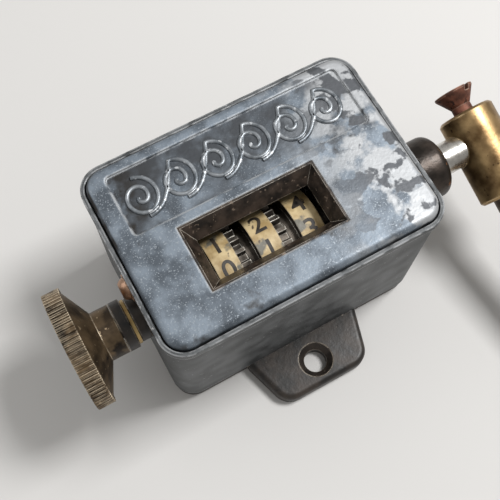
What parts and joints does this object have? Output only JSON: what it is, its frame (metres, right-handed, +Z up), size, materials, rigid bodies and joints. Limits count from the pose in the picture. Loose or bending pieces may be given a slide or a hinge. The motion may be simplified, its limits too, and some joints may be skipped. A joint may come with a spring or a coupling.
{
  "type": "lever stroke counter",
  "caption": "Lever-driven mechanical visitor counter with number wheels behind a bevelled window, a knurled reset knob and a clamped lever rod.",
  "frame": {"origin": "centre of the base plate's underside", "axes": "+X from the reset knob to the drive shaft, +Y to the back (the lever points to -Y), +Z up out of the window"},
  "size_m": [0.0937, 0.0907, 0.0378],
  "materials": {
    "black_paint": "satin",
    "grey_zinc": "satin",
    "cover_zinc": "satin",
    "dark_enamel": "gloss",
    "steel": "satin",
    "brass": "satin",
    "wheel_paint": "satin",
    "bronze": "satin",
    "copper": "satin",
    "dark_steel": "satin",
    "polished_steel": "polished",
    "spring_steel": "satin",
    "block_brass": "satin",
    "rusty_steel": "rough",
    "rod_steel": "satin"
  },
  "bodies": {
    "case": {"base_plate": "black_paint", "case_body": "grey_zinc", "base_screws": "steel", "top_cover": "cover_zinc", "window_bezel": "dark_enamel", "left_end_plate": "brass", "right_end_plate": "brass", "tie_rods": "steel", "pinion_shaft": "steel", "reset_bushing": "black_paint", "side_rivet": "copper", "drive_bushing": "dark_steel", "stop_pin": "steel", "retaining_pawl": "spring_steel", "return_spring": "spring_steel"},
    "reset": {"reset_knob": "bronze", "reset_shaft": "steel", "knob_set_screw": "steel", "shaft_collar": "black_paint", "thrust_washer": "brass"},
    "units": {"number_wheel_units": "wheel_paint", "ratchet_wheel": "steel"},
    "tens": {"number_wheel_tens": "wheel_paint"},
    "hundreds": {"number_wheel_hundreds": "wheel_paint"},
    "pinion_t": {"transfer_pinion_tens": "brass"},
    "pinion_h": {"transfer_pinion_hundreds": "brass"},
    "lever": {"drive_shaft": "polished_steel", "drive_arm": "steel", "pawl_pin": "steel", "lever_block": "block_brass", "clamp_screw": "rusty_steel", "lever_rod": "rod_steel"},
    "pawl": {"drive_pawl": "steel"}
  },
  "joints": [
    {"name": "lever_swing", "type": "hinge", "parent": "case", "child": "lever", "pos_m": [0, -0.005, 0.023], "axis": [-1, 0, 0], "range_deg": [0, 45]},
    {"name": "pawl_lift", "type": "hinge", "parent": "lever", "child": "pawl", "pos_m": [0, 0.0005, 0.01347], "axis": [-1, 0, 0], "range_deg": [0, 6]},
    {"name": "reset_turn", "type": "hinge", "parent": "case", "child": "reset", "pos_m": [0, -0.005, 0.023], "axis": [1, 0, 0], "continuous": true},
    {"name": "units_turn", "type": "hinge", "parent": "case", "child": "units", "pos_m": [0, -0.005, 0.023], "axis": [1, 0, 0], "continuous": true},
    {"name": "tens_turn", "type": "hinge", "parent": "case", "child": "tens", "pos_m": [0, -0.005, 0.023], "axis": [1, 0, 0], "continuous": true},
    {"name": "hundreds_turn", "type": "hinge", "parent": "case", "child": "hundreds", "pos_m": [0, -0.005, 0.023], "axis": [1, 0, 0], "continuous": true},
    {"name": "pinion_tens_turn", "type": "hinge", "parent": "case", "child": "pinion_t", "pos_m": [0, 0.00578, 0.0249], "axis": [1, 0, 0], "continuous": true},
    {"name": "pinion_hundreds_turn", "type": "hinge", "parent": "case", "child": "pinion_h", "pos_m": [0, 0.00578, 0.0249], "axis": [1, 0, 0], "continuous": true}
  ],
  "couplings": [
    {"joint": "tens_turn", "follows": "units_turn", "ratio": 0.1},
    {"joint": "hundreds_turn", "follows": "units_turn", "ratio": 0.01},
    {"joint": "pinion_tens_turn", "follows": "units_turn", "ratio": -0.25},
    {"joint": "pinion_hundreds_turn", "follows": "units_turn", "ratio": -0.025}
  ]
}
